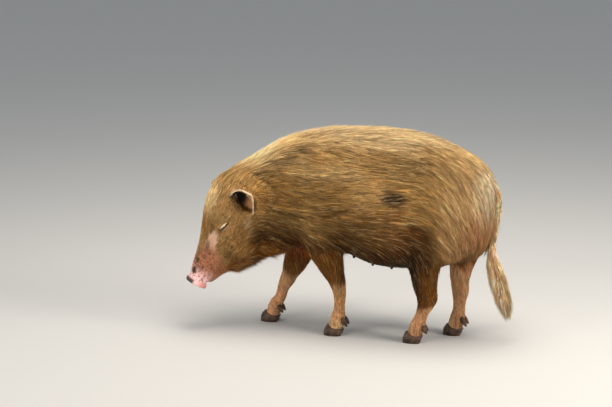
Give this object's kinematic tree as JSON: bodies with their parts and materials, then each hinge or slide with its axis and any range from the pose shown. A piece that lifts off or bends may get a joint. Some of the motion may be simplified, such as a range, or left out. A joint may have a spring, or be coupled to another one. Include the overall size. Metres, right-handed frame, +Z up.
{
  "type": "domestic pig",
  "caption": "Life-size still model of a bristly ginger village pig, standing with its head lowered and turned to the left.",
  "frame": {"origin": "under the middle of the bounding box, on the floor that the claws stand on", "axes": "+Z up; the pig faces -X and its left side, the one in the picture, is towards -Y"},
  "size_m": [1.0016, 0.3834, 0.6562],
  "materials": {
    "coat": "bristly ginger brown hair lying flat, golden along the back and crest, dark at the belly",
    "hoof": "dull dark horn",
    "eye": "wet dark brown",
    "ear": "thin skin, thinly haired, pink inside"
  },
  "bodies": {
    "root": {"dewclaw_foreleg_left_left": "hoof", "dewclaw_foreleg_left_right": "hoof", "dewclaw_foreleg_right_left": "hoof", "dewclaw_foreleg_right_right": "hoof", "dewclaw_hindleg_left_left": "hoof", "dewclaw_hindleg_left_right": "hoof", "dewclaw_hindleg_right_left": "hoof", "dewclaw_hindleg_right_right": "hoof", "ear_left": "ear", "ear_right": "ear", "eye_left": "eye", "eye_right": "eye", "foreleg_left": "coat", "foreleg_right": "coat", "head": "coat", "hindleg_left": "coat", "hindleg_right": "coat", "hoof_foreleg_left_left": "hoof", "hoof_foreleg_left_right": "hoof", "hoof_foreleg_right_left": "hoof", "hoof_foreleg_right_right": "hoof", "hoof_hindleg_left_left": "hoof", "hoof_hindleg_left_right": "hoof", "hoof_hindleg_right_left": "hoof", "hoof_hindleg_right_right": "hoof", "neck": "coat", "tail": "coat", "torso": "coat"}
  },
  "joints": []
}
